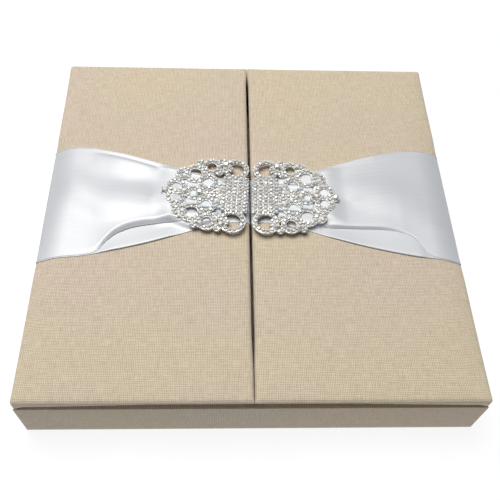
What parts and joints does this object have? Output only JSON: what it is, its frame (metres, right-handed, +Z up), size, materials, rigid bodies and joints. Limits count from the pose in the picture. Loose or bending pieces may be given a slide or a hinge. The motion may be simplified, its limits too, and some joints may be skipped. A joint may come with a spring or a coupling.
{
  "type": "keepsake box",
  "caption": "Low square linen-covered keepsake box with padded doors on cloth hinges that open from the middle, satin ribbons and an openwork clasp set with clear stones.",
  "frame": {"origin": "middle of the underside of the base", "axes": "+X to the right, +Y to the back, +Z up; the seam between the doors runs along Y"},
  "size_m": [0.1786, 0.1788, 0.0328],
  "materials": {
    "greyboard": "matte",
    "linen": "matte",
    "lining": "matte",
    "foam": "matte",
    "magnet": "satin",
    "satin": "satin",
    "felt": "matte",
    "silver_plate": "polished",
    "crystal": "polished"
  },
  "bodies": {
    "tray": {"base_board": "greyboard", "base_cloth": "linen", "tray_floor": "greyboard", "floor_lining": "lining", "tray_front_wall": "greyboard", "tray_back_wall": "greyboard", "front_wall_cloth": "linen", "back_wall_cloth": "linen", "left_spine_board": "greyboard", "left_spine_cloth": "linen", "left_hinge_cloth": "linen", "left_tray_wall": "greyboard", "left_wall_lining": "lining", "left_ribbon_tail": "satin", "right_spine_board": "greyboard", "right_spine_cloth": "linen", "right_hinge_cloth": "linen", "right_tray_wall": "greyboard", "right_wall_lining": "lining", "right_ribbon_tail": "satin"},
    "left_door": {"left_door_board": "greyboard", "left_door_magnets": "magnet", "left_door_foam": "foam", "left_door_cloth": "linen", "left_door_lining": "lining", "left_ribbon": "satin", "left_clasp_pad": "felt", "left_clasp_frame": "silver_plate", "left_clasp_stones": "crystal"},
    "right_door": {"right_door_board": "greyboard", "right_door_magnets": "magnet", "right_door_foam": "foam", "right_door_cloth": "linen", "right_door_lining": "lining", "right_ribbon": "satin", "right_clasp_pad": "felt", "right_clasp_frame": "silver_plate", "right_clasp_stones": "crystal"}
  },
  "joints": [
    {"name": "left_door_hinge", "type": "hinge", "parent": "tray", "child": "left_door", "pos_m": [-0.08935, 0, 0.02255], "axis": [0, -1, 0], "range_deg": [0, 180]},
    {"name": "right_door_hinge", "type": "hinge", "parent": "tray", "child": "right_door", "pos_m": [0.08935, 0, 0.02255], "axis": [0, 1, 0], "range_deg": [0, 180]}
  ]
}
